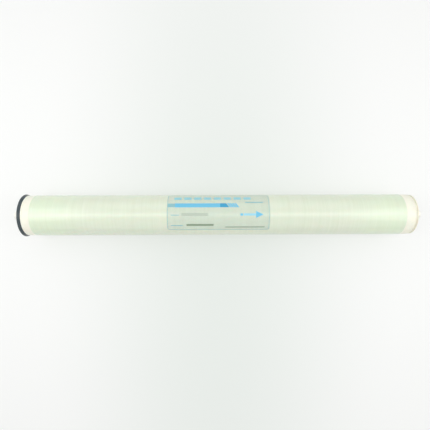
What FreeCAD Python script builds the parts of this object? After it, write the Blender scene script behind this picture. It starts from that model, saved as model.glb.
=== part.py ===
import FreeCAD, Part
import math
import os
import Sketcher

# Spiral-wound reverse osmosis element of the 4 by 40 inch size, in millimetres.
# It lies along X: the feed end with its brine seal is at -X, the concentrate end at +X.
# The origin is on the axis, half way between the two ends of the product water tube.

doc = FreeCAD.newDocument("membrane_element")


# ---------------------------------------------------------------- driving dimensions

DIMENSIONS = {
    # whole element
    "body_length": 962.6,
    "stub_reach": 26.7,
    # glass-fibre shell
    "shell_radius": 49.85,
    "shell_bore": 48.0,
    # product water tube
    "tube_radius": 10.0,
    "tube_bore": 7.4,
    "stub_radius": 9.55,
    "stub_chamfer": 1.0,
    "port_radius": 1.6,
    "port_offset": 200.0,
    # end caps, measured inwards from the cap's outer face
    "cap_depth": 36.0,
    "band_depth": 29.3,
    "band_radius": 49.5,
    "flange_radius": 48.4,
    "flange_width": 2.0,
    "groove_radius": 45.0,
    "groove_width": 8.2,
    "rim_bore": 42.0,
    "hub_radius": 13.6,
    "brace_inside": 24.6,
    "brace_outside": 27.2,
    "spoke_width": 2.8,
    "spoke_count": 8,
    # brine seal, measured inwards from the cap's outer face
    "seal_mouth": 2.3,
    "seal_heel": 9.9,
    "seal_cup_floor": 7.0,
    "seal_cup_radius": 47.8,
    "seal_leg_radius": 46.5,
    "seal_heel_radius": 49.9,
    "seal_lip_radius": 52.6,
    "seal_lip_thickness": 1.1,
    # wound pack
    "leaf_thickness": 0.62,
    "spacer_thickness": 0.86,
    "tape_bore": 47.55,
    # label film
    "label_length": 247.0,
    "label_thickness": 0.12,
    "label_corner": 6.0,
    "label_top_angle": 75.0,
    "label_bottom_angle": 47.0,
}

sheet = doc.addObject("Spreadsheet::Sheet", "dims")
for row, (alias, value) in enumerate(DIMENSIONS.items(), start=1):
    sheet.set("A%d" % row, alias.replace("_", " "))
    sheet.set("B%d" % row, str(value))
    sheet.setAlias("B%d" % row, alias)
doc.recompute()


def size(formula):
    """Value of a formula on the sheet, such as 'dims.cap_depth / 2'."""
    value = sheet.evalExpression(formula)
    return float(getattr(value, "Value", value))


def negative(formula):
    return "-(%s)" % formula


# ---------------------------------------------------------------- modelling helpers

NORMAL = FreeCAD.Vector(0, 0, 1)
ORIGIN_POINT = (-1, 1)
ACROSS_AXIS = -1
UP_AXIS = -2


def new_body(name):
    body = doc.addObject("PartDesign::Body", name)
    body.Label = name
    return body


def new_sketch(body, name, plane_role):
    sketch = body.newObject("Sketcher::SketchObject", name)
    plane = next(f for f in body.Origin.OriginFeatures if f.Role == plane_role)
    sketch.AttachmentSupport = [(plane, "")]
    sketch.MapMode = "FlatFace"
    return sketch


def arc_about_axis(radius, low, high):
    """Arc about the element's axis, between two angles in radians."""
    return Part.ArcOfCircle(Part.Circle(FreeCAD.Vector(), NORMAL, radius), low, high)


def bind(sketch, kind, elements, name, formula):
    """Add a driving dimension to a sketch and tie it to the sheet."""
    value = size(formula)
    if kind == "Angle":
        value = math.radians(value)
    index = sketch.addConstraint(Sketcher.Constraint(kind, *elements, value))
    sketch.renameConstraint(index, name)
    sketch.setExpression("Constraints." + name, formula)


def place_point(sketch, element, point, name, along, up):
    """Fix one point of a sketch by two formulas; a formula of '0' puts it on the axis."""
    if along == "0":
        sketch.addConstraint(Sketcher.Constraint("PointOnObject", element, point, UP_AXIS))
    else:
        bind(sketch, "DistanceX", (*ORIGIN_POINT, element, point), name + "_x", along)
    if up == "0":
        sketch.addConstraint(Sketcher.Constraint("PointOnObject", element, point, ACROSS_AXIS))
    else:
        bind(sketch, "DistanceY", (*ORIGIN_POINT, element, point), name + "_y", up)


def turned_body(name, corners):
    """Body turned about X from a closed profile of (along the axis, radius) formulas."""
    body = new_body(name)
    sketch = new_sketch(body, name + "_profile", "XZ_Plane")
    places = [FreeCAD.Vector(size(along), size(up), 0) for along, up in corners]
    following = places[1:] + places[:1]
    sketch.addGeometry([Part.LineSegment(a, b) for a, b in zip(places, following)], False)
    for i in range(len(corners)):
        sketch.addConstraint(Sketcher.Constraint("Coincident", i, 2, (i + 1) % len(corners), 1))
    for i, (along, up) in enumerate(corners):
        place_point(sketch, i, 1, "corner%d" % i, along, up)
    turning = body.newObject("PartDesign::Revolution", name + "_turning")
    turning.Profile = sketch
    turning.ReferenceAxis = (sketch, ["H_Axis"])
    turning.Angle = 360
    doc.recompute()
    return body


def sleeve(name, half_length, bore, outside):
    """A plain round sleeve about the axis, centred on the origin."""
    return turned_body(name, [
        (negative(half_length), bore),
        (half_length, bore),
        (half_length, outside),
        (negative(half_length), outside),
    ])


def cut_through(body, sketch, name, both_ways):
    """Pocket through the whole body, one way along X or both ways; it has to remove material."""
    before = body.Shape.Volume
    pocket = body.newObject("PartDesign::Pocket", name)
    pocket.Profile = sketch
    pocket.Type = "ThroughAll"
    pocket.Midplane = both_ways
    pocket.Reversed = not both_ways
    doc.recompute()
    if pocket.Shape.Volume >= before:
        raise RuntimeError(name + " cuts nothing")
    return pocket


# ---------------------------------------------------------------- product water tube
# An extruded tube whose two ends are turned down for the seals of the product water
# adapters. Collecting holes are drilled right through it under the wound pack.

half_body = "dims.body_length / 2"
half_tube = half_body + " + dims.stub_reach"
stub_land = half_tube + " - dims.stub_chamfer"
stub_nose = "dims.stub_radius - dims.stub_chamfer"

core_tube = turned_body("core_tube", [
    (negative(half_tube), "dims.tube_bore"),
    (half_tube, "dims.tube_bore"),
    (half_tube, stub_nose),
    (stub_land, "dims.stub_radius"),
    (half_body, "dims.stub_radius"),
    (half_body, "dims.tube_radius"),
    (negative(half_body), "dims.tube_radius"),
    (negative(half_body), "dims.stub_radius"),
    (negative(stub_land), "dims.stub_radius"),
    (negative(half_tube), stub_nose),
])

for plane_role, name, along in (
    ("XY_Plane", "upright_ports", negative("dims.port_offset")),
    ("XZ_Plane", "level_ports", "dims.port_offset"),
):
    hole = new_sketch(core_tube, name + "_circle", plane_role)
    centre = FreeCAD.Vector(size(along), 0, 0)
    hole.addGeometry(Part.Circle(centre, NORMAL, size("dims.port_radius")), False)
    place_point(hole, 0, 3, "centre", along, "0")
    bind(hole, "Radius", (0,), "port", "dims.port_radius")
    cut_through(core_tube, hole, name, both_ways=True)


# ---------------------------------------------------------------- end caps
# Anti-telescoping caps, each moulded in one piece: a rim with the seal's groove, a skirt that
# goes under the shell, a hub round the tube, and eight spokes joined by straight braces that
# hold back the edges of the wound leaves and let the water through.

groove_end = "dims.flange_width + dims.groove_width"


def cut_windows(cap, name, inner, outer, inner_is_round):
    """One window in each bay between two spokes; its other edge is the straight brace."""
    half_bay = "180 deg / dims.spoke_count"
    slope = math.radians(size(half_bay))
    half_spoke = size("dims.spoke_width") / 2
    sketch = new_sketch(cap, name + "_outline", "YZ_Plane")
    ends = []
    for edge, formula, is_round in ((0, inner, inner_is_round), (1, outer, not inner_is_round)):
        reach = size(formula)
        if is_round:
            angle = slope - math.asin(half_spoke / reach)
            geometry = arc_about_axis(reach, -angle, angle)
            corners = [geometry.StartPoint, geometry.EndPoint]
        else:
            half_width = reach * math.tan(slope) - half_spoke / math.cos(slope)
            corners = [FreeCAD.Vector(reach, s * half_width, 0) for s in (-1, 1)]
            geometry = Part.LineSegment(*corners)
        sketch.addGeometry(geometry, False)
        ends.append(corners)
        if is_round:
            sketch.addConstraint(Sketcher.Constraint("Coincident", edge, 3, *ORIGIN_POINT))
            bind(sketch, "Radius", (edge,), "reach%d" % edge, formula)
        else:
            bind(sketch, "DistanceX", (*ORIGIN_POINT, edge, 1), "reach%d" % edge, formula)
    for side in (0, 1):
        sketch.addGeometry(Part.LineSegment(ends[0][side], ends[1][side]), False)
        for edge in (0, 1):
            join = Sketcher.Constraint("Coincident", edge, side + 1, side + 2, edge + 1)
            sketch.addConstraint(join)
    sketch.addConstraint(Sketcher.Constraint("Symmetric", 0, 1, 0, 2, ACROSS_AXIS))
    sketch.addConstraint(Sketcher.Constraint("Symmetric", 1, 1, 1, 2, ACROSS_AXIS))
    bind(sketch, "Angle", (3,), "half_bay", half_bay)
    bind(sketch, "Distance", (*ORIGIN_POINT, 3), "half_spoke", "dims.spoke_width / 2")
    window = cut_through(cap, sketch, name + "_cut", both_ways=False)
    ring = cap.newObject("PartDesign::PolarPattern", name)
    ring.Originals = [window]
    ring.Axis = (sketch, ["N_Axis"])
    ring.Angle = 360
    ring.setExpression("Occurrences", "dims.spoke_count")
    cap.Tip = ring
    doc.recompute()


def end_cap(name, place, turn):
    """A cap modelled inwards from its outer face, then set at one end of the element."""
    cap = turned_body(name, [
        ("0", "dims.tube_radius"),
        ("0", "dims.flange_radius"),
        ("dims.flange_width", "dims.flange_radius"),
        ("dims.flange_width", "dims.groove_radius"),
        (groove_end, "dims.groove_radius"),
        (groove_end, "dims.band_radius"),
        ("dims.band_depth", "dims.band_radius"),
        ("dims.band_depth", "dims.shell_bore"),
        ("dims.cap_depth", "dims.shell_bore"),
        ("dims.cap_depth", "dims.tube_radius"),
    ])
    cut_windows(cap, name + "_inner_windows", "dims.hub_radius", "dims.brace_inside", True)
    cut_windows(cap, name + "_outer_windows", "dims.brace_outside", "dims.rim_bore", False)
    cap.Placement = FreeCAD.Placement(FreeCAD.Vector(), FreeCAD.Rotation(NORMAL, turn))
    cap.setExpression(".Placement.Base.x", place)


end_cap("feed_end_cap", negative(half_body), 0)
end_cap("concentrate_end_cap", half_body, 180)


# ---------------------------------------------------------------- brine seal
# A moulded rubber U-cup. Its leg and heel sit in the feed cap's groove, its open side faces
# the feed, and its free lip stands out past the shell to press on the vessel's bore.

brine_seal = turned_body("brine_seal", [
    ("dims.seal_mouth", "dims.groove_radius"),
    ("dims.seal_heel", "dims.groove_radius"),
    ("dims.seal_heel", "dims.seal_heel_radius"),
    ("dims.seal_mouth", "dims.seal_lip_radius"),
    ("dims.seal_mouth", "dims.seal_lip_radius - dims.seal_lip_thickness"),
    ("dims.seal_cup_floor", "dims.seal_cup_radius"),
    ("dims.seal_mouth", "dims.seal_leg_radius"),
])
brine_seal.setExpression(".Placement.Base.x", negative(half_body))


# ---------------------------------------------------------------- wound pack
# Four leaves start at four sides of the product water tube and are wound up together. Each
# leaf is a glued envelope of two membranes round permeate cloth, wound with the feed spacer
# that lies against it, so one leaf's outer face is the next leaf's inner face.

half_pack = half_body + " - dims.cap_depth"
LEAVES = 4
FLATS_PER_TURN = 16


def wound_leaf(name, start_angle):
    """A leaf wound outwards from the tube in short flats, the same number in every turn."""
    flat_angle = 2 * math.pi / FLATS_PER_TURN
    thickness = size("dims.leaf_thickness + dims.spacer_thickness")
    growth = LEAVES * thickness / FLATS_PER_TURN
    # The middle of a flat is nearer to the axis than its ends, so the ends start that much
    # further out and the first flats clear the tube.
    start_radius = size("dims.tube_radius") / math.cos(flat_angle / 2)
    flats = int((size("dims.tape_bore") - start_radius - thickness) / growth)

    def edge(height):
        corners = []
        for i in range(flats + 1):
            radius = start_radius + height + growth * i
            angle = flat_angle * i
            corners.append(FreeCAD.Vector(radius * math.cos(angle), radius * math.sin(angle), 0))
        return corners

    outline = edge(0) + edge(thickness)[::-1]
    body = new_body(name)
    sketch = new_sketch(body, name + "_spiral", "YZ_Plane")
    following = outline[1:] + outline[:1]
    sketch.addGeometry([Part.LineSegment(a, b) for a, b in zip(outline, following)], False)
    joins = []
    for i in range(len(outline)):
        joins.append(Sketcher.Constraint("Coincident", i, 2, (i + 1) % len(outline), 1))
    sketch.addConstraint(joins)
    pad = body.newObject("PartDesign::Pad", name + "_width")
    pad.Profile = sketch
    pad.Midplane = True
    pad.setExpression("Length", "2 * (%s)" % half_pack)
    turn = FreeCAD.Rotation(FreeCAD.Vector(1, 0, 0), start_angle)
    body.Placement = FreeCAD.Placement(FreeCAD.Vector(), turn)
    doc.recompute()


for number in range(LEAVES):
    wound_leaf("membrane_leaf_%d" % (number + 1), number * 360 / LEAVES)

sleeve("tape_wrap", half_pack, "dims.tape_bore", "dims.shell_bore")


# ---------------------------------------------------------------- shell
# Glass roving and epoxy, wound over the pack and the skirts of both caps and cured in place.

sleeve("shell", half_body + " - dims.band_depth", "dims.shell_bore", "dims.shell_radius")


# ---------------------------------------------------------------- label
# A clear film with rounded corners, laid round the middle of the shell. It is cut from a
# thick blank, whose corners are rounded first.

label = new_body("label")
blank_radii = ("dims.shell_radius - dims.label_corner", "dims.shell_radius + dims.label_corner")
film_radii = ("dims.shell_radius", "dims.shell_radius + dims.label_thickness")
low_angle = math.radians(90 - size("dims.label_top_angle"))
high_angle = math.radians(90 + size("dims.label_bottom_angle"))

blank_section = new_sketch(label, "label_blank_section", "YZ_Plane")
sides = [arc_about_axis(size(formula), low_angle, high_angle) for formula in blank_radii]
blank_section.addGeometry(sides, False)
blank_section.addGeometry(Part.LineSegment(sides[0].StartPoint, sides[1].StartPoint), False)
blank_section.addGeometry(Part.LineSegment(sides[0].EndPoint, sides[1].EndPoint), False)
for arc, formula in enumerate(blank_radii):
    blank_section.addConstraint(Sketcher.Constraint("Coincident", arc, 3, *ORIGIN_POINT))
    blank_section.addConstraint(Sketcher.Constraint("Coincident", arc, 1, 2, arc + 1))
    blank_section.addConstraint(Sketcher.Constraint("Coincident", arc, 2, 3, arc + 1))
    bind(blank_section, "Radius", (arc,), "blank%d" % arc, formula)
blank = label.newObject("PartDesign::Pad", "label_blank")
blank.Profile = blank_section
blank.Midplane = True
blank.setExpression("Length", "dims.label_length")
doc.recompute()

corner_height = 2 * size("dims.label_corner")
corner_edges = [
    "Edge%d" % number for number, edge in enumerate(blank.Shape.Edges, start=1)
    if math.isclose(edge.Length, corner_height, abs_tol=0.001)
]
rounding = label.newObject("PartDesign::Fillet", "label_corners")
rounding.Base = (blank, corner_edges)
rounding.setExpression("Radius", "dims.label_corner")
doc.recompute()

for name, radii in (
    ("label_inside", film_radii[:1]),
    ("label_outside", (film_radii[1], blank_radii[1])),
):
    rings = new_sketch(label, name + "_section", "YZ_Plane")
    for ring, formula in enumerate(radii):
        rings.addGeometry(Part.Circle(FreeCAD.Vector(), NORMAL, size(formula)), False)
        rings.addConstraint(Sketcher.Constraint("Coincident", ring, 3, *ORIGIN_POINT))
        bind(rings, "Radius", (ring,), "ring%d" % ring, formula)
    cut_through(label, rings, name, both_ways=True)


# ---------------------------------------------------------------- checks and export

for item in doc.Objects:
    if "Invalid" in item.State or "Error" in item.State:
        raise RuntimeError("%s did not compute: %s" % (item.Name, item.State))

os.makedirs("parts", exist_ok=True)
for body in doc.findObjects("PartDesign::Body"):
    shape = body.Shape
    if shape.isNull() or not shape.isValid() or len(shape.Solids) != 1:
        raise RuntimeError("%s is not one valid solid" % body.Label)
    shape.exportStep("parts/%s.step" % body.Label)
    print("%-22s %9.1f mm3" % (body.Label, shape.Volume))
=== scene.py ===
import math

import bmesh
import bpy
from mathutils import Matrix, Vector


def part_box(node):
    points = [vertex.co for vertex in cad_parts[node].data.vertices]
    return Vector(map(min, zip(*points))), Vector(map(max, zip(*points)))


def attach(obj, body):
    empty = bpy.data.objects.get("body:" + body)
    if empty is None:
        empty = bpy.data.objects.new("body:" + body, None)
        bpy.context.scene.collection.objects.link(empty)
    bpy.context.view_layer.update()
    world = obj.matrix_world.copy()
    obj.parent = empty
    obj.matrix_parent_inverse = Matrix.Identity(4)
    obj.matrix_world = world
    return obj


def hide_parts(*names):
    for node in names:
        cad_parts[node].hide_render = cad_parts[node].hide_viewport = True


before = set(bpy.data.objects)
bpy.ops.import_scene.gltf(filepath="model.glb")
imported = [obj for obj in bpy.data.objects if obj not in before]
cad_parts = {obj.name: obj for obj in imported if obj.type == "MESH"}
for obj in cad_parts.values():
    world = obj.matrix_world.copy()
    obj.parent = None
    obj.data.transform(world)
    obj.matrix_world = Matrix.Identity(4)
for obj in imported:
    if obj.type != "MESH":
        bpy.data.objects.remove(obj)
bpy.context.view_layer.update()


# ------------------------------------------------------------------ product water tube
# Extruded ABS tube that carries the product water out. Its ends stand proud of both caps and
# are turned smooth for the O-rings of the adapters, with a small lead-in chamfer. The pack
# hides the collecting holes that are drilled through the rest of it.

def linear(hex_colour):
    """An sRGB hex colour as the linear colour and alpha that a shader takes."""
    channels = [int(hex_colour[i:i + 2], 16) / 255 for i in (1, 3, 5)]
    return [c / 12.92 if c <= 0.04045 else ((c + 0.055) / 1.055) ** 2.4 for c in channels] + [1.0]


def add_node(tree, kind, inputs=None, **settings):
    """Adds a node to a tree with its settings; each input is a value, or a socket to link."""
    node = tree.nodes.new(kind)
    for name, value in settings.items():
        setattr(node, name, value)
    for key, value in (inputs or {}).items():
        if isinstance(value, bpy.types.NodeSocket):
            tree.links.new(value, node.inputs[key])
        else:
            node.inputs[key].default_value = value
    return node


def new_material(name):
    """An empty node material, its tree and its output node."""
    material = bpy.data.materials.new(name)
    material.use_nodes = True
    material.node_tree.nodes.clear()
    return material, material.node_tree, add_node(material.node_tree, "ShaderNodeOutputMaterial")


def rounded(corners, steps=4):
    """Closed outline from (along, out, rounding) corners; a rounding above 0 becomes an arc."""
    outline = []
    for i, (along, out, rounding) in enumerate(corners):
        corner = Vector((along, out))
        if rounding == 0:
            outline.append(tuple(corner))
            continue
        before = (Vector(corners[i - 1][:2]) - corner).normalized()
        after = (Vector(corners[(i + 1) % len(corners)][:2]) - corner).normalized()
        half = before.angle(after) / 2
        centre = corner + (before + after).normalized() * rounding / math.sin(half)
        start = corner + before * rounding / math.tan(half) - centre
        end = corner + after * rounding / math.tan(half) - centre
        sweep = math.atan2(start.cross(end), start.dot(end))
        for step in range(steps + 1):
            outline.append(tuple(centre + Matrix.Rotation(sweep * step / steps, 2) @ start))
    return outline


def turned(name, outline, steps):
    """A solid of revolution about X from a closed outline of (along, out) points in metres."""
    mesh = bpy.data.meshes.new(name)
    shape = bmesh.new()
    rings = []
    for step in range(steps):
        angle = 2 * math.pi * step / steps
        rings.append([
            shape.verts.new((along, out * math.cos(angle), out * math.sin(angle)))
            for along, out in outline
        ])
    for ring, following in zip(rings, rings[1:] + rings[:1]):
        for i in range(len(outline)):
            shape.faces.new((ring[i - 1], ring[i], following[i], following[i - 1]))
    bmesh.ops.recalc_face_normals(shape, faces=shape.faces)
    shape.to_mesh(mesh)
    shape.free()
    mesh.shade_smooth()
    mesh.set_sharp_from_angle(angle=math.radians(35))
    piece = bpy.data.objects.new(name, mesh)
    bpy.context.scene.collection.objects.link(piece)
    return piece


def finish_piece(piece, material, slot, *nodes):
    """Gives a piece its material, puts it on the body and hides the nodes it replaces; slot is not used."""
    piece.data.materials.clear()
    piece.data.materials.append(material)
    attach(piece, "root")
    if nodes:
        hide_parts(*nodes)


# Extruded ABS is off-white and satin, with faint draw lines that run along the tube.
tube_abs, tree, output = new_material("extruded_abs_tube")
place = add_node(tree, "ShaderNodeTexCoord")
draw_lines = add_node(tree, "ShaderNodeMapping", {
    "Vector": place.outputs["Object"], "Scale": (20, 1500, 1500),
})
lines = add_node(tree, "ShaderNodeTexNoise", {
    "Vector": draw_lines.outputs["Vector"], "Scale": 1.0, "Detail": 3.0,
})
tint = add_node(tree, "ShaderNodeMix", {
    "Factor": lines.outputs["Fac"], "A": linear("#F4F4EC"), "B": linear("#FBFBF5"),
}, data_type="RGBA")
relief = add_node(tree, "ShaderNodeBump", {
    "Height": lines.outputs["Fac"], "Strength": 0.15, "Distance": 0.00005,
})
surface = add_node(tree, "ShaderNodeBsdfPrincipled", {
    "Base Color": tint.outputs["Result"], "Roughness": 0.38, "IOR": 1.53,
    "Normal": relief.outputs["Normal"],
})
tree.links.new(surface.outputs["BSDF"], output.inputs["Surface"])

TUBE_RADIUS = 0.010
STUB_RADIUS = 0.00955
TUBE_BORE = 0.0074
LEAD_IN = 0.001
tube_low, tube_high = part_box("core_tube")[0].x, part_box("core_tube")[1].x
body_low, body_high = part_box("feed_end_cap")[0].x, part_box("concentrate_end_cap")[1].x
tube = turned("product_water_tube", rounded([
    (tube_low, TUBE_BORE, 0.0003),
    (tube_high, TUBE_BORE, 0.0003),
    (tube_high, STUB_RADIUS - LEAD_IN, 0.0003),
    (tube_high - LEAD_IN, STUB_RADIUS, 0.0004),
    (body_high, STUB_RADIUS, 0),
    (body_high, TUBE_RADIUS, 0.0002),
    (body_low, TUBE_RADIUS, 0.0002),
    (body_low, STUB_RADIUS, 0),
    (tube_low + LEAD_IN, STUB_RADIUS, 0.0004),
    (tube_low, STUB_RADIUS - LEAD_IN, 0.0003),
], steps=3), 96)
finish_piece(tube, tube_abs, "tube_plastic", "core_tube")


# ------------------------------------------------------------------ wound leaves
# Four glued envelopes of polyamide-coated polyester round permeate cloth, each wound with its
# polypropylene feed netting into one tight roll. Only their edges show, as fine spiral lines
# behind the spokes of the caps.

leaf_winding = bpy.data.node_groups.new("leaf_winding", "GeometryNodeTree")
for name, kind, preset in (
    ("Start Angle", "NodeSocketFloat", 0.0),
    ("Turns", "NodeSocketFloat", 6.0),
    ("Start Radius", "NodeSocketFloat", 0.0101),
    ("Growth per Turn", "NodeSocketFloat", 0.00592),
    ("Inner Height", "NodeSocketFloat", 0.0),
    ("Thickness", "NodeSocketFloat", 0.00062),
    ("Width", "NodeSocketFloat", 0.8906),
    ("Material", "NodeSocketMaterial", None),
):
    entry = leaf_winding.interface.new_socket(name, in_out="INPUT", socket_type=kind)
    if preset is not None:
        entry.default_value = preset
leaf_winding.interface.new_socket("Geometry", in_out="OUTPUT", socket_type="NodeSocketGeometry")
given = add_node(leaf_winding, "NodeGroupInput").outputs


def worked_out(operation, *values):
    """Output of one Math node in the winding's tree."""
    return add_node(leaf_winding, "ShaderNodeMath", dict(enumerate(values)), operation=operation).outputs[0]


# A long thin bar, cut into steps along its second side, is bent round the axis.
bar = add_node(leaf_winding, "GeometryNodeMeshCube", {"Vertices X": 2, "Vertices Y": 433, "Vertices Z": 2})
spot = add_node(leaf_winding, "ShaderNodeSeparateXYZ", {
    "Vector": add_node(leaf_winding, "GeometryNodeInputPosition").outputs["Position"],
}).outputs
wound = worked_out("MULTIPLY", worked_out("ADD", spot["Y"], 0.5), given["Turns"])
angle = worked_out("ADD", worked_out("MULTIPLY", wound, 2 * math.pi), given["Start Angle"])
through = worked_out("MULTIPLY", worked_out("ADD", spot["X"], 0.5), given["Thickness"])
height = worked_out("ADD", given["Inner Height"], through)
growth = worked_out("MULTIPLY", wound, given["Growth per Turn"])
from_axis = worked_out("ADD", worked_out("ADD", given["Start Radius"], height), growth)
bent = add_node(leaf_winding, "ShaderNodeCombineXYZ", {
    "X": worked_out("MULTIPLY", spot["Z"], given["Width"]),
    "Y": worked_out("MULTIPLY", from_axis, worked_out("COSINE", angle)),
    "Z": worked_out("MULTIPLY", from_axis, worked_out("SINE", angle)),
})
rolled = add_node(leaf_winding, "GeometryNodeSetPosition", {
    "Geometry": bar.outputs["Mesh"], "Position": bent.outputs["Vector"],
})
realized = add_node(leaf_winding, "GeometryNodeRealizeInstances", {"Geometry": rolled.outputs["Geometry"]})
coated = add_node(leaf_winding, "GeometryNodeSetMaterial", {
    "Geometry": realized.outputs["Geometry"], "Material": given["Material"],
})
add_node(leaf_winding, "NodeGroupOutput", {"Geometry": coated.outputs["Geometry"]})


def grown(name, tree, sizes, start=None):
    """Plain mesh piece that a Geometry Nodes tree makes from named input values."""
    carrier = bpy.data.objects.new(name, start or bpy.data.meshes.new(name + "_start"))
    bpy.context.scene.collection.objects.link(carrier)
    modifier = carrier.modifiers.new(name, "NODES")
    modifier.node_group = tree
    for entry in tree.interface.items_tree:
        if entry.in_out == "INPUT" and entry.name in sizes:
            modifier[entry.identifier] = sizes[entry.name]
    bpy.context.view_layer.update()
    seen = carrier.evaluated_get(bpy.context.evaluated_depsgraph_get())
    mesh = bpy.data.meshes.new_from_object(seen)
    carrier.modifiers.clear()
    carrier.data = mesh
    mesh.name = name
    return carrier


# The membrane's cut edge is a creamy sandwich: bright coated faces, a duller cloth between.
membrane_edge, tree, output = new_material("coated_polyester_membrane")
place = add_node(tree, "ShaderNodeTexCoord")
cloth = add_node(tree, "ShaderNodeTexNoise", {
    "Vector": place.outputs["Object"], "Scale": 900.0, "Detail": 2.0,
})
tint = add_node(tree, "ShaderNodeMix", {
    "Factor": cloth.outputs["Fac"], "A": linear("#D9D4C2"), "B": linear("#F1EEE0"),
}, data_type="RGBA")
surface = add_node(tree, "ShaderNodeBsdfPrincipled", {
    "Base Color": tint.outputs["Result"], "Roughness": 0.8,
})
tree.links.new(surface.outputs["BSDF"], output.inputs["Surface"])

# Two layers of strands, each 3 mm apart, meet the cut edge every 1.5 mm as pale dots; the dark gaps between
# them are painted shade of the net's open gaps.
netting_edge, tree, output = new_material("polypropylene_feed_netting")
place = add_node(tree, "ShaderNodeTexCoord")
strands = add_node(tree, "ShaderNodeTexVoronoi", {"Vector": place.outputs["Object"], "Scale": 1 / 0.0015})
dots_and_painted_gap_shade = add_node(tree, "ShaderNodeValToRGB", {"Fac": strands.outputs["Distance"]})
dots_and_painted_gap_shade.color_ramp.elements[0].position = 0.30
dots_and_painted_gap_shade.color_ramp.elements[0].color = linear("#C3C8C4")
# The dark end of the ramp is painted shade in the gaps between the strands.
dots_and_painted_gap_shade.color_ramp.elements[1].position = 0.55
dots_and_painted_gap_shade.color_ramp.elements[1].color = linear("#6F7672")
surface = add_node(tree, "ShaderNodeBsdfPrincipled", {
    "Base Color": dots_and_painted_gap_shade.outputs["Color"], "Roughness": 0.45, "IOR": 1.49,
})
tree.links.new(surface.outputs["BSDF"], output.inputs["Surface"])

LEAVES = 4
TURNS = 6.0
PACK_START = 0.0101
LEAF_THICKNESS = 0.00062
SPACER_THICKNESS = 0.00086
for number in range(LEAVES):
    node = "membrane_leaf_%d" % (number + 1)
    low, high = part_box(node)
    winding = {
        "Start Angle": 2 * math.pi * number / LEAVES,
        "Turns": TURNS,
        "Start Radius": PACK_START,
        "Growth per Turn": LEAVES * (LEAF_THICKNESS + SPACER_THICKNESS),
        "Width": high.x - low.x,
    }
    leaf = grown("membrane_envelope_%d" % (number + 1), leaf_winding, {
        **winding, "Inner Height": 0.0, "Thickness": LEAF_THICKNESS, "Material": membrane_edge,
    })
    finish_piece(leaf, membrane_edge, "membrane", node)
    spacer = grown("feed_netting_%d" % (number + 1), leaf_winding, {
        **winding, "Inner Height": LEAF_THICKNESS, "Thickness": SPACER_THICKNESS, "Material": netting_edge,
    })
    finish_piece(spacer, netting_edge, "membrane", node)


# ------------------------------------------------------------------ tape wrap
# Polypropylene tape wound over the finished roll to hold it tight while the shell is laid on.
# It stays the solid that the frame gives, because the shell and the caps cover it.

wrap_tape, tree, output = new_material("polypropylene_wrap_tape")
place = add_node(tree, "ShaderNodeTexCoord")
edges = add_node(tree, "ShaderNodeTexWave", {
    "Vector": place.outputs["Object"], "Scale": 1 / (0.05 * 2 * math.pi), "Distortion": 0.5,
}, bands_direction="X")
tint = add_node(tree, "ShaderNodeMix", {
    "Factor": edges.outputs["Fac"], "A": linear("#E6E3CC"), "B": linear("#DAD6BC"),
}, data_type="RGBA")
surface = add_node(tree, "ShaderNodeBsdfPrincipled", {
    "Base Color": tint.outputs["Result"], "Roughness": 0.35, "IOR": 1.49,
})
tree.links.new(surface.outputs["BSDF"], output.inputs["Surface"])
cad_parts["tape_wrap"].data.materials.clear()
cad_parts["tape_wrap"].data.materials.append(wrap_tape)


# ------------------------------------------------------------------ end caps
# Anti-telescoping caps injection moulded in cream ABS and glued to the wound pack. Each is a
# grooved rim and a hub joined by eight spokes, with a straight brace in every bay, and a fine
# score line round the rim marks where the trim saw stops.

# Moulded ABS is a warm cream with a soft sheen and the fine grain of the spark-eroded mould.
cap_abs, tree, output = new_material("moulded_abs_cap")
place = add_node(tree, "ShaderNodeTexCoord")
cloud = add_node(tree, "ShaderNodeTexNoise", {
    "Vector": place.outputs["Object"], "Scale": 60.0, "Detail": 2.0,
})
tint = add_node(tree, "ShaderNodeMix", {
    "Factor": cloud.outputs["Fac"], "A": linear("#EFEDDC"), "B": linear("#F4F3E5"),
}, data_type="RGBA")
grain = add_node(tree, "ShaderNodeTexNoise", {
    "Vector": place.outputs["Object"], "Scale": 2500.0, "Detail": 2.0,
})
relief = add_node(tree, "ShaderNodeBump", {
    "Height": grain.outputs["Fac"], "Strength": 0.2, "Distance": 0.00004,
})
surface = add_node(tree, "ShaderNodeBsdfPrincipled", {
    "Base Color": tint.outputs["Result"], "Roughness": 0.42, "IOR": 1.53,
    "Normal": relief.outputs["Normal"], "Subsurface Weight": 0.08, "Subsurface Scale": 0.002,
})
tree.links.new(surface.outputs["BSDF"], output.inputs["Surface"])

cap_spokes = bpy.data.node_groups.new("cap_spokes", "GeometryNodeTree")
for name, kind, preset in (
    ("Rim and Hub", "NodeSocketGeometry", None),
    ("Spokes", "NodeSocketInt", 8),
    ("Spoke Size", "NodeSocketVector", (0.035, 0.0290, 0.0028)),
    ("Spoke Middle", "NodeSocketFloat", 0.0277),
    ("Brace Size", "NodeSocketVector", (0.035, 0.0026, 0.0220)),
    ("Brace Middle", "NodeSocketFloat", 0.0259),
    ("Depth Middle", "NodeSocketFloat", 0.018),
    ("Material", "NodeSocketMaterial", None),
):
    entry = cap_spokes.interface.new_socket(name, in_out="INPUT", socket_type=kind)
    if preset is not None:
        entry.default_value = preset
cap_spokes.interface.new_socket("Geometry", in_out="OUTPUT", socket_type="NodeSocketGeometry")
given = add_node(cap_spokes, "NodeGroupInput").outputs
count = add_node(cap_spokes, "GeometryNodeMeshLine", {"Count": given["Spokes"], "Offset": (0, 0, 0)})
number = add_node(cap_spokes, "GeometryNodeInputIndex").outputs["Index"]
bay = add_node(cap_spokes, "ShaderNodeMath", {
    0: 2 * math.pi, 1: given["Spokes"],
}, operation="DIVIDE").outputs[0]
moulded = [given["Rim and Hub"]]
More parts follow.
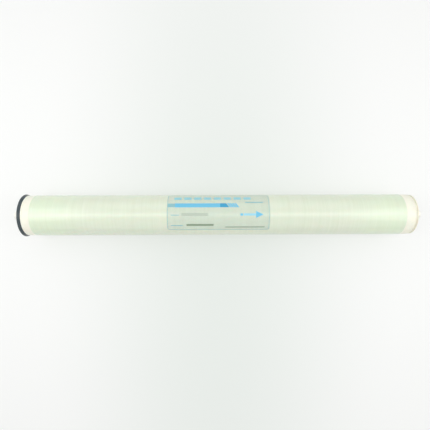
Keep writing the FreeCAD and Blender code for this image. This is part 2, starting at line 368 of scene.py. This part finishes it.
for size, middle, offset in (("Spoke Size", "Spoke Middle", 0.5), ("Brace Size", "Brace Middle", 0.0)):
    block = add_node(cap_spokes, "GeometryNodeMeshCube", {"Size": given[size]})
    outward = add_node(cap_spokes, "ShaderNodeCombineXYZ", {"X": given["Depth Middle"], "Y": given[middle]})
    set_out = add_node(cap_spokes, "GeometryNodeTransform", {
        "Geometry": block.outputs["Mesh"], "Translation": outward.outputs["Vector"],
    })
    bays = add_node(cap_spokes, "ShaderNodeMath", {0: number, 1: offset}, operation="ADD").outputs[0]
    turn = add_node(cap_spokes, "ShaderNodeMath", {0: bays, 1: bay}, operation="MULTIPLY").outputs[0]
    about_axis = add_node(cap_spokes, "ShaderNodeCombineXYZ", {"X": turn})
    ring = add_node(cap_spokes, "GeometryNodeInstanceOnPoints", {
        "Points": count.outputs["Mesh"], "Instance": set_out.outputs["Geometry"],
        "Rotation": about_axis.outputs["Vector"],
    })
    ribs = add_node(cap_spokes, "GeometryNodeRealizeInstances", {"Geometry": ring.outputs["Instances"]})
    moulded.append(ribs.outputs["Geometry"])
fused = add_node(cap_spokes, "GeometryNodeMeshBoolean", operation="UNION", solver="MANIFOLD")
for part in moulded:
    cap_spokes.links.new(part, fused.inputs["Mesh 2"])
one_piece = add_node(cap_spokes, "GeometryNodeRealizeInstances", {"Geometry": fused.outputs["Mesh"]})
coated = add_node(cap_spokes, "GeometryNodeSetMaterial", {
    "Geometry": one_piece.outputs["Geometry"], "Material": given["Material"],
})
add_node(cap_spokes, "NodeGroupOutput", {"Geometry": coated.outputs["Geometry"]})

CAP_DEPTH = 0.036
FLANGE_DEPTH = 0.0020
GROOVE_END = 0.0092
BAND_DEPTH = 0.0293
RIM_BORE = 0.0420
FLANGE_RADIUS = 0.0484
GROOVE_RADIUS = 0.0450
BAND_RADIUS = 0.0495
SCORE_RADIUS = 0.0492
SKIRT_RADIUS = 0.0480
HUB_RADIUS = 0.0136
rim_outline = rounded([
    (0.0, RIM_BORE, 0.0006),
    (0.0, FLANGE_RADIUS, 0.0008),
    (FLANGE_DEPTH, FLANGE_RADIUS, 0.0003),
    (FLANGE_DEPTH, GROOVE_RADIUS, 0.0004),
    (GROOVE_END, GROOVE_RADIUS, 0.0004),
    (GROOVE_END, BAND_RADIUS, 0.0005),
    (0.0130, BAND_RADIUS, 0.0002),
    (0.0132, SCORE_RADIUS, 0),
    (0.0138, SCORE_RADIUS, 0),
    (0.0140, BAND_RADIUS, 0.0002),
    (BAND_DEPTH, BAND_RADIUS, 0.0003),
    (BAND_DEPTH, SKIRT_RADIUS, 0),
    (CAP_DEPTH, SKIRT_RADIUS, 0.0005),
    (CAP_DEPTH, RIM_BORE, 0.0005),
], steps=3)
hub_outline = rounded([
    (0.0, TUBE_RADIUS, 0.0003),
    (0.0, HUB_RADIUS, 0.0006),
    (CAP_DEPTH, HUB_RADIUS, 0.0006),
    (CAP_DEPTH, TUBE_RADIUS, 0.0003),
], steps=3)
for node, face, facing in (("feed_end_cap", body_low, 1), ("concentrate_end_cap", body_high, -1)):
    parts = [
        turned(node + "_rim", rim_outline, 160),
        turned(node + "_hub", hub_outline, 96),
    ]
    joined = bmesh.new()
    for part in parts:
        joined.from_mesh(part.data)
        bpy.data.objects.remove(part)
    start = bpy.data.meshes.new(node + "_rim_and_hub")
    joined.to_mesh(start)
    joined.free()
    cap = grown(node.replace("end_cap", "cap_moulding"), cap_spokes, {"Material": cap_abs}, start)
    cap.data.transform(
        Matrix.Translation((face, 0, 0)) @ Matrix.Rotation(0 if facing > 0 else math.pi, 4, "Z")
    )
    cap.data.shade_smooth()
    cap.data.set_sharp_from_angle(angle=math.radians(35))
    finish_piece(cap, cap_abs, "cap_plastic", node)


# ------------------------------------------------------------------ shell
# Glass roving soaked in clear epoxy, wound round the pack and the skirts of both caps in
# near-hoop turns, then cured. It is glossy, pale green and slightly see-through, and greener
# at both ends, where the reinforcement over the caps' skirts is thicker. Its middle is also
# a little darker, as painted shade where less light falls there.

glass_shell, tree, output = new_material("wound_glass_fibre_epoxy")
place = add_node(tree, "ShaderNodeTexCoord").outputs["Object"]
along = add_node(tree, "ShaderNodeSeparateXYZ", {"Vector": place}).outputs["X"]
# Roving bands about 9 mm wide show as soft hoops; single fibre bundles are 0.8 mm apart.
band_place = add_node(tree, "ShaderNodeMapping", {"Vector": place, "Scale": (110, 5, 5)})
bands = add_node(tree, "ShaderNodeTexNoise", {
    "Vector": band_place.outputs["Vector"], "Scale": 1.0, "Detail": 3.0, "Roughness": 0.6,
})
bundle_place = add_node(tree, "ShaderNodeMapping", {"Vector": place, "Scale": (1250, 14, 14)})
bundles = add_node(tree, "ShaderNodeTexNoise", {
    "Vector": bundle_place.outputs["Vector"], "Scale": 1.0, "Detail": 2.0,
})
distance = add_node(tree, "ShaderNodeMath", {0: along}, operation="ABSOLUTE").outputs[0]
end_share = add_node(tree, "ShaderNodeMapRange", {
    "Value": distance, "From Min": 0.30, "From Max": 0.42, "To Min": 0.0, "To Max": 1.0,
}, interpolation_type="SMOOTHSTEP")
# The ends are greener as a colour; the middle is a little darker as painted shade.
green_ends_and_painted_middle_shade = add_node(tree, "ShaderNodeMix", {
    "Factor": end_share.outputs["Result"], "A": linear("#DCE4CF"), "B": linear("#DAE8CC"),
}, data_type="RGBA")
band_strength = add_node(tree, "ShaderNodeMapRange", {
    "Value": bands.outputs["Fac"], "From Min": 0.35, "From Max": 0.65, "To Min": 0.0, "To Max": 0.35,
})
banded = add_node(tree, "ShaderNodeMix", {
    "Factor": band_strength.outputs["Result"], "A": green_ends_and_painted_middle_shade.outputs["Result"], "B": linear("#D0DAC0"),
}, data_type="RGBA")
bundle_strength = add_node(tree, "ShaderNodeMapRange", {
    "Value": bundles.outputs["Fac"], "From Min": 0.4, "From Max": 0.7, "To Min": 0.0, "To Max": 0.25,
})
threaded = add_node(tree, "ShaderNodeMix", {
    "Factor": bundle_strength.outputs["Result"], "A": banded.outputs["Result"], "B": linear("#EBF0E2"),
}, data_type="RGBA")
relief = add_node(tree, "ShaderNodeBump", {
    "Height": bands.outputs["Fac"], "Strength": 0.12, "Distance": 0.0003,
})
surface = add_node(tree, "ShaderNodeBsdfPrincipled", {
    "Base Color": threaded.outputs["Result"], "Roughness": 0.30, "IOR": 1.55,
    "Normal": relief.outputs["Normal"],
    "Subsurface Weight": 0.15, "Subsurface Scale": 0.003, "Coat Weight": 0.5, "Coat Roughness": 0.15,
})
tree.links.new(surface.outputs["BSDF"], output.inputs["Surface"])

SHELL_BORE = 0.048
shell_low, shell_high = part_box("shell")
SHELL_RADIUS = shell_high.z
shell = turned("wound_shell", rounded([
    (shell_low.x, SHELL_BORE, 0),
    (shell_high.x, SHELL_BORE, 0),
    (shell_high.x, SHELL_RADIUS, 0.0006),
    (shell_low.x, SHELL_RADIUS, 0.0006),
]), 256)
finish_piece(shell, glass_shell, "fibreglass", "shell")


# ------------------------------------------------------------------ label
# A clear polyester film with rounded corners, stuck round the middle of the shell and printed
# in blue and grey. It carries no words: a stripe that ends in slashes, an arrow for the flow,
# a thin border, and plain bars where the fields are.

# A flat sheet is cut into strips this wide, so that it bends round the shell.
STRIP = 0.0016
STRIPS_EACH_WAY = 45


def on_shell(name, outlines, height):
    """Flat outlines of (along, up the girth) points in metres, laid on the shell at a height."""
    shape = bmesh.new()
    for outline in outlines:
        shape.faces.new([shape.verts.new((along, up, 0)) for along, up in outline])
    for i in range(-STRIPS_EACH_WAY, STRIPS_EACH_WAY + 1):
        parts = shape.verts[:] + shape.edges[:] + shape.faces[:]
        bmesh.ops.bisect_plane(shape, geom=parts, plane_co=(0, i * STRIP, 0), plane_no=(0, 1, 0))
    for vert in shape.verts:
        angle = vert.co.y / SHELL_RADIUS
        radius = SHELL_RADIUS + height
        vert.co = (vert.co.x, radius * math.sin(angle), radius * math.cos(angle))
    bmesh.ops.recalc_face_normals(shape, faces=shape.faces)
    for face in shape.faces:
        if face.normal.dot(face.calc_center_median() * Vector((0, 1, 1))) < 0:
            face.normal_flip()
    mesh = bpy.data.meshes.new(name)
    shape.to_mesh(mesh)
    shape.free()
    mesh.shade_smooth()
    piece = bpy.data.objects.new(name, mesh)
    bpy.context.scene.collection.objects.link(piece)
    return piece


def girth(degrees):
    """How far up the girth an angle from the top line lies."""
    return math.radians(degrees) * SHELL_RADIUS


def field(low_x, high_x, low_degrees, high_degrees, slant=0.0, corner=0.0):
    """A four-sided field, in millimetres along and degrees round; slant and corner are in metres."""
    low, high = girth(low_degrees), girth(high_degrees)
    left, right = low_x / 1000, high_x / 1000
    return rounded([
        (left, low, corner), (right, low, corner), (right - slant, high, corner), (left, high, corner),
    ], steps=6)


film_low, film_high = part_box("label")
film_edges = (film_low.x * 1000, film_high.x * 1000, -47.0, 75.0)

# Clear film is glossy and nearly colourless; its glue layer gives a faint cool veil.
clear_film, tree, output = new_material("clear_polyester_film")
surface = add_node(tree, "ShaderNodeBsdfPrincipled", {
    "Base Color": linear("#CFE0DC"), "Roughness": 0.22, "IOR": 1.5, "Alpha": 0.22,
})
tree.links.new(surface.outputs["BSDF"], output.inputs["Surface"])
FILM_HEIGHT = 0.00005
film = on_shell("label_film", [field(*film_edges, corner=0.006)], FILM_HEIGHT)
finish_piece(film, clear_film, "label_film", "label")


def print_ink(name, hex_colour):
    """Screen ink: a flat satin colour, a little paler where the screen's mesh laid it thinner."""
    ink, tree, output = new_material(name)
    place = add_node(tree, "ShaderNodeTexCoord")
    spread = add_node(tree, "ShaderNodeTexNoise", {
        "Vector": place.outputs["Object"], "Scale": 700.0, "Detail": 2.0,
    })
    full = linear(hex_colour)
    thin = [min(1.0, channel * 1.12 + 0.01) for channel in full[:3]] + [1.0]
    tint = add_node(tree, "ShaderNodeMix", {
        "Factor": spread.outputs["Fac"], "A": full, "B": thin,
    }, data_type="RGBA")
    surface = add_node(tree, "ShaderNodeBsdfPrincipled", {
        "Base Color": tint.outputs["Result"], "Roughness": 0.3,
    })
    tree.links.new(surface.outputs["BSDF"], output.inputs["Surface"])
    return ink


INK_HEIGHT = 0.00009
sky_ink = print_ink("sky_blue_screen_ink", "#66B9DA")
deep_ink = print_ink("deep_blue_screen_ink", "#2F98C2")
light_ink = print_ink("light_blue_screen_ink", "#90CCE0")
grey_ink = print_ink("blue_grey_screen_ink", "#86B6BC")
cyan_ink = print_ink("pale_cyan_screen_ink", "#8CC8D4")
pale_ink = print_ink("pale_grey_screen_ink", "#B0BCAC")
text_ink = print_ink("warm_grey_screen_ink", "#84957F")

STRIPE = (21.0, 33.5)
SLANT = 0.0075
SLASHES = 4
SLASH_START = 0.0276
SLASH_PITCH = 0.0058
SLASH_WIDTH = 0.0045
stripe = [field(-104.5, 4.0, *STRIPE)]
stripe_end = [field(4.0, 25.5, *STRIPE, SLANT)]
stripe_start = [field(-121.5, -104.5, 21.5, 33.0)]
stripe_foot, stripe_top = girth(STRIPE[0]), girth(STRIPE[1])
slashes = []
for i in range(SLASHES):
    left = SLASH_START + SLASH_PITCH * i
    right = left + SLASH_WIDTH
    slashes.append([
        (left, stripe_foot), (right, stripe_foot), (right - SLANT, stripe_top), (left - SLANT, stripe_top),
    ])

ARROW = (-2.6, 3.6)
HEAD_START, HEAD_TIP = 0.0895, 0.1070
HEAD_HALF = 0.0085
middle = girth(0.5)
arrow_head = [[(HEAD_START, middle - HEAD_HALF), (HEAD_TIP, middle), (HEAD_START, middle + HEAD_HALF)]]
arrow_start = [field(52.0, 58.5, *ARROW)]
arrow_shaft = [field(60.0, 89.5, *ARROW)]

BORDER_LINE = 1.0
line_degrees = math.degrees(BORDER_LINE / 1000 / SHELL_RADIUS)
left, right, foot, top = -122.7, 121.4, -46.0, 73.0
outer = field(left, right, foot, top, corner=0.005)
inner = field(
    left + BORDER_LINE, right - BORDER_LINE, foot + line_degrees, top - line_degrees, corner=0.004,
)
border = [[outer[i - 1], outer[i], inner[i], inner[i - 1]] for i in range(len(outer))]

HEADING_BARS = 8
HEADING_PITCH = 24.0
bar_starts = [-107 + HEADING_PITCH * i for i in range(HEADING_BARS)]
heading = [field(start, start + 17.5, 47.0, 58.0, corner=0.0012) for start in bar_starts]
captions = [
    field(-114.0, -94.0, -1.6, 0.4),
    field(-114.0, -86.0, -32.0, -29.5),
    field(64.0, 107.0, 34.5, 38.0),
]
model_bar = [field(-89.0, -25.0, -3.2, 5.0, corner=0.001)]
serial_bar = [field(-77.0, -12.0, -32.5, -26.0, corner=0.001)]
foot_bar = [field(16.0, 111.0, -38.0, -35.0)]

for name, ink, outlines in (
    ("print_stripe", sky_ink, stripe),
    ("print_stripe_end", deep_ink, stripe_end),
    ("print_stripe_start", grey_ink, stripe_start),
    ("print_slashes", sky_ink, slashes),
    ("print_arrow_head", sky_ink, arrow_head + arrow_start),
    ("print_arrow_shaft", light_ink, arrow_shaft),
    ("print_border", grey_ink, border),
    ("print_heading_bars", cyan_ink, heading),
    ("print_captions", grey_ink, captions),
    ("print_type_bar", pale_ink, model_bar),
    ("print_number_bar", text_ink, serial_bar),
    ("print_foot_bar", text_ink, foot_bar),
):
    print_piece = on_shell(name, outlines, INK_HEIGHT)
    finish_piece(print_piece, ink, "label_film")


# ------------------------------------------------------------------ brine seal
# Moulded EPDM U-cup pushed into the groove of the feed cap. Its mouth faces the feed, so the
# water's pressure spreads the thin lip against the vessel. The rubber is blue-black and satin
# where the mould was polished.

epdm, tree, output = new_material("moulded_epdm_seal")
place = add_node(tree, "ShaderNodeTexCoord")
bloom = add_node(tree, "ShaderNodeTexNoise", {
    "Vector": place.outputs["Object"], "Scale": 220.0, "Detail": 4.0,
})
tint = add_node(tree, "ShaderNodeMix", {
    "Factor": bloom.outputs["Fac"], "A": linear("#2C383D"), "B": linear("#3D494D"),
}, data_type="RGBA")
relief = add_node(tree, "ShaderNodeBump", {
    "Height": bloom.outputs["Fac"], "Strength": 0.12, "Distance": 0.0001,
})
surface = add_node(tree, "ShaderNodeBsdfPrincipled", {
    "Base Color": tint.outputs["Result"], "Roughness": 0.30, "IOR": 1.52,
    "Normal": relief.outputs["Normal"],
})
tree.links.new(surface.outputs["BSDF"], output.inputs["Surface"])

# The heel and the far side of the groove both sit 1 mm short of the solids'.
HEEL_SHORT = 0.0010
LIP_THICKNESS = 0.0011
CUP_DEPTH = 0.0047
seal_low, seal_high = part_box("brine_seal")
mouth, heel, lip = seal_low.x, seal_high.x - HEEL_SHORT, seal_high.z
seal = turned("brine_seal_cup", rounded([
    (mouth, 0.0451, 0.0003),
    (heel, 0.0451, 0.0008),
    (heel, 0.0496, 0.0020),
    (mouth, lip, 0.0003),
    (mouth, lip - LIP_THICKNESS, 0.0003),
    (mouth + CUP_DEPTH, 0.0478, 0.0004),
    (mouth, 0.0465, 0.0004),
], steps=5), 192)
finish_piece(seal, epdm, "seal_rubber", "brine_seal")


# ------------------------------------------------------------------ floor and light
# A sheet of plain pale card, whose seen colour carries painted shade round the middle. It rises a little
# towards the far end, because the element lies on the seal's lip at one end and on the shell at the other.

floor_card, tree, output = new_material("pale_card_with_painted_shade")
path = add_node(tree, "ShaderNodeLightPath")
place = add_node(tree, "ShaderNodeTexCoord").outputs["Object"]
spread = add_node(tree, "ShaderNodeMapping", {
    "Vector": place, "Scale": (1 / 0.50, 1 / 1.4, 0), "Location": (0, 0.107, 0),
})
from_middle = add_node(tree, "ShaderNodeVectorMath", {0: spread.outputs["Vector"]}, operation="LENGTH")
painted_shade_falloff = add_node(tree, "ShaderNodeMapRange", {
    "Value": from_middle.outputs["Value"], "From Min": 0.0, "From Max": 1.0, "To Min": 0.0, "To Max": 1.0,
}, interpolation_type="SMOOTHSTEP")
# Painted shade: the colour that the camera sees is darker round the middle, under and beside the element,
# and turns white further out.
card = add_node(tree, "ShaderNodeMix", {
    "Factor": painted_shade_falloff.outputs["Result"], "A": linear("#E0E8E1"), "B": linear("#FFFFFE"),
}, data_type="RGBA")
matte = add_node(tree, "ShaderNodeBsdfDiffuse", {"Color": linear("#F0F2F0")})
seen = add_node(tree, "ShaderNodeEmission", {"Color": card.outputs["Result"], "Strength": 1.0})
far = add_node(tree, "ShaderNodeMapRange", {
    "Value": from_middle.outputs["Value"], "From Min": 1.0, "From Max": 4.0, "To Min": 0.5, "To Max": 1.0,
}, interpolation_type="SMOOTHSTEP")
directly = add_node(tree, "ShaderNodeMath", {
    0: path.outputs["Is Camera Ray"], 1: far.outputs["Result"],
}, operation="MULTIPLY")
mixed = add_node(tree, "ShaderNodeMixShader", {
    0: directly.outputs[0], 1: matte.outputs["BSDF"], 2: seen.outputs["Emission"],
})
tree.links.new(mixed.outputs["Shader"], output.inputs["Surface"])

slope = (shell_low.z - seal_low.z) / (shell_high.x - mouth)
FLOOR_HALF = 12.0
corners = ((-1, -1), (1, -1), (1, 1), (-1, 1))
floor_mesh = bpy.data.meshes.new("floor")
floor_mesh.from_pydata([
    (x * FLOOR_HALF, y * FLOOR_HALF, seal_low.z + (x * FLOOR_HALF - mouth) * slope) for x, y in corners
], [], [(0, 1, 2, 3)])
floor = bpy.data.objects.new("floor", floor_mesh)
floor.data.materials.append(floor_card)
bpy.context.scene.collection.objects.link(floor)

# The world is an even pale sky; what looks at it directly or in a gloss sees plain white.
world = bpy.data.worlds.new("studio")
bpy.context.scene.world = world
world.use_nodes = True
world.node_tree.nodes.clear()
path = add_node(world.node_tree, "ShaderNodeLightPath").outputs
seen_or_gloss = add_node(world.node_tree, "ShaderNodeMath", {
    0: path["Is Camera Ray"], 1: path["Is Glossy Ray"],
}, operation="MAXIMUM")
direct = add_node(world.node_tree, "ShaderNodeMath", {
    0: seen_or_gloss.outputs[0], 1: path["Is Transmission Ray"],
}, operation="MAXIMUM")
soft = add_node(world.node_tree, "ShaderNodeBackground", {"Color": linear("#FFFFFF"), "Strength": 0.58})
white = add_node(world.node_tree, "ShaderNodeBackground", {"Color": linear("#FFFFFF"), "Strength": 1.0})
sky = add_node(world.node_tree, "ShaderNodeMixShader", {
    0: direct.outputs[0], 1: soft.outputs["Background"], 2: white.outputs["Background"],
})
add_node(world.node_tree, "ShaderNodeOutputWorld", {"Surface": sky.outputs["Shader"]})

for name, width, depth, energy, location, turn in (
    ("long_softbox", 2.8, 0.34, 5.9, (0.0, 0.02, 1.25), (0, 0, 0)),
    ("left_softbox", 0.5, 1.0, 2.6, (-0.95, 0.1, 0.7), (0, math.radians(-50), 0)),
    ("right_softbox", 0.5, 1.0, 2.2, (0.95, 0.0, 0.7), (0, math.radians(50), 0)),
    ("window_softbox", 2.2, 0.8, 3.0, (0.0, 1.2, 0.9), (math.radians(-55), 0, 0)),
    ("fill_softbox", 2.4, 0.6, 1.2, (0.2, -1.2, 0.7), (math.radians(60), 0, 0)),
):
    lamp = bpy.data.lights.new(name, "AREA")
    lamp.shape = "RECTANGLE"
    lamp.size, lamp.size_y = width, depth
    lamp.energy = energy
    holder = bpy.data.objects.new(name, lamp)
    holder.location = location
    holder.rotation_euler = turn
    bpy.context.scene.collection.objects.link(holder)


# ------------------------------------------------------------------ camera
# It looks straight down from about 0.93 m above the axis, a little to the feed side.

YAW, ROLL = math.radians(-0.466), math.radians(-0.197)
camera_data = bpy.data.cameras.new("camera")
camera_data.sensor_width = 36.0
camera_data.lens = 31.10
camera = bpy.data.objects.new("camera", camera_data)
turned_about = Matrix.Rotation(ROLL, 3, "Z") @ Matrix.Rotation(YAW, 3, "Y")
right, down, ahead = [Vector((row[0], -row[1], -row[2])) for row in turned_about]
basis = Matrix((right, -down, -ahead)).transposed().to_4x4()
camera.matrix_world = Matrix.Translation((-0.01583, -0.0006, 0.93468)) @ basis
bpy.context.scene.collection.objects.link(camera)
bpy.context.scene.camera = camera
bpy.context.scene.view_settings.view_transform = "Standard"
